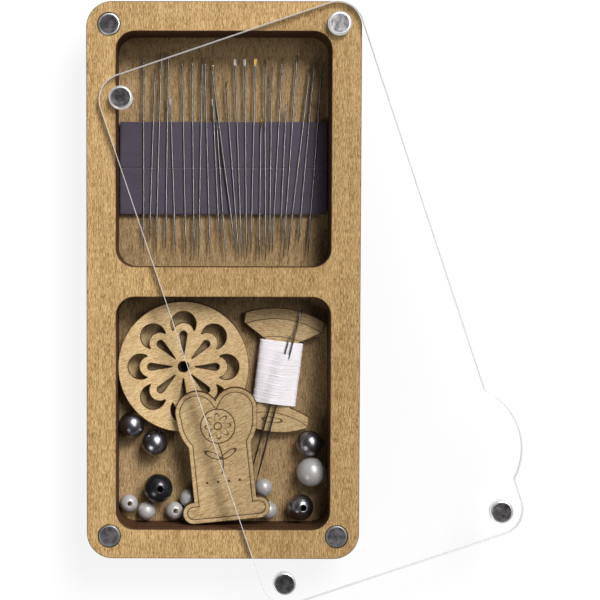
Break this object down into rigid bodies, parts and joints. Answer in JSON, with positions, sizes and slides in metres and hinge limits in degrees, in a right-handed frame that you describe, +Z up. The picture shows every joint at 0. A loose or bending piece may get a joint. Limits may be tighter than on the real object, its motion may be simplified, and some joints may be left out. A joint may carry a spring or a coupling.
{
  "type": "bobbin box",
  "caption": "Flat plywood sewing box with rounded compartments holding needles, bobbins and beads, under a clear lid that swivels on a corner magnet and closes by magnets.",
  "frame": {"origin": "centre of the box's flat underside", "axes": "+X across the box towards the lid's thumb tab side, +Y along the box towards the needle compartment, +Z up"},
  "size_m": [0.1181, 0.1629, 0.0181],
  "materials": {
    "box_plywood": "fine-grained plywood, laser-cut with scorched brown edges",
    "card_plywood": "pale thin plywood with scorched cut edges and engraved lines",
    "magnet_nickel": "nickel-plated disc magnet",
    "clear_acrylic": "clear polished acrylic sheet",
    "magnet_strip": "dark matt magnetic rubber",
    "needle_steel": "polished nickel-plated needle steel, some eyes gilt",
    "white_thread": "white sewing thread",
    "gunmetal": "metallised dark grey pearl bead",
    "black_gloss": "glossy black bead",
    "pearl": "white imitation pearl"
  },
  "bodies": {
    "box": {"base_panel": "box_plywood", "lower_frame": "box_plywood", "middle_frame": "box_plywood", "top_frame": "box_plywood", "box_magnet_rear_left": "magnet_nickel", "box_magnet_rear_right": "magnet_nickel", "box_magnet_front_left": "magnet_nickel", "box_magnet_front_right": "magnet_nickel", "needle_strip_rear": "magnet_strip", "needle_strip_front": "magnet_strip", "sewing_needles": "needle_steel", "bobbin_top_flange": "card_plywood", "bobbin_core": "card_plywood", "bobbin_bottom_flange": "card_plywood", "spool_card": "card_plywood", "thread_card": "card_plywood", "spool_thread_core": "white_thread", "spool_thread": "white_thread", "spool_needles": "needle_steel", "gunmetal_bead_1": "gunmetal", "gunmetal_bead_2": "gunmetal", "gunmetal_bead_3": "gunmetal", "gunmetal_bead_4": "gunmetal", "black_bead": "black_gloss", "white_pearl": "pearl", "small_pearl_1": "pearl", "small_pearl_2": "pearl", "small_pearl_3": "pearl", "small_pearl_4": "pearl", "small_pearl_5": "pearl", "small_pearl_6": "pearl"},
    "lid_pivot": {"lid_pivot_magnet": "magnet_nickel"},
    "lid": {"lid_panel": "clear_acrylic", "lid_magnet_rear_left": "magnet_nickel", "lid_magnet_front_left": "magnet_nickel", "lid_magnet_front_right": "magnet_nickel"}
  },
  "joints": [
    {"name": "lid_lift", "type": "slide", "parent": "box", "child": "lid_pivot", "axis": [0, 0, 1], "range_m": [0, 0.03]},
    {"name": "lid_swivel", "type": "hinge", "parent": "lid_pivot", "child": "lid", "pos_m": [0.0309, 0.0692, 0.0171], "axis": [0, 0, 1], "range_deg": [-18.7, 161.3]}
  ]
}
